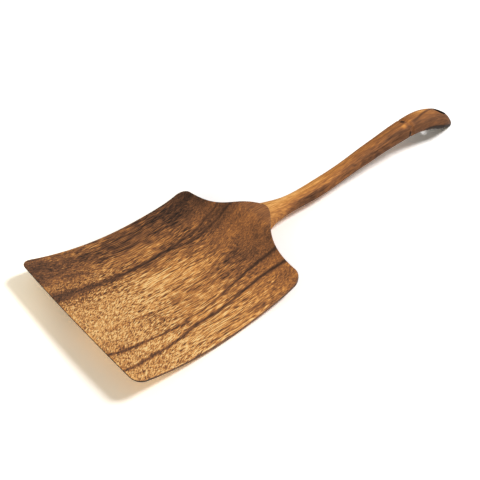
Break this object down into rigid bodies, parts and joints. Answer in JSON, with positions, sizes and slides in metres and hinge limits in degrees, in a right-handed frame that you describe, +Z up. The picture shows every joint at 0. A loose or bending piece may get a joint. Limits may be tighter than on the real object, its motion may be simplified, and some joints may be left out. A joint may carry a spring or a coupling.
{
  "type": "wooden spatula",
  "caption": "Wide wooden spatula with a shallow scooped square blade and a long curved handle that droops at its end, with a hanging hole.",
  "frame": {"origin": "centre of the overall box in plan, on the table under the spatula as it lies, blade's hollow side up", "axes": "+X along the spatula from the blade's front edge to the handle's tip, +Y to the left across the blade, +Z up"},
  "size_m": [0.3551, 0.1272, 0.0295],
  "materials": {
    "blade_wood": "oiled hardwood, satin, golden with dark lengthwise veins",
    "handle_wood": "oiled hardwood, satin, orange-brown, paler at the neck"
  },
  "bodies": {
    "root": {"blade": "blade_wood", "handle": "handle_wood"}
  },
  "joints": []
}
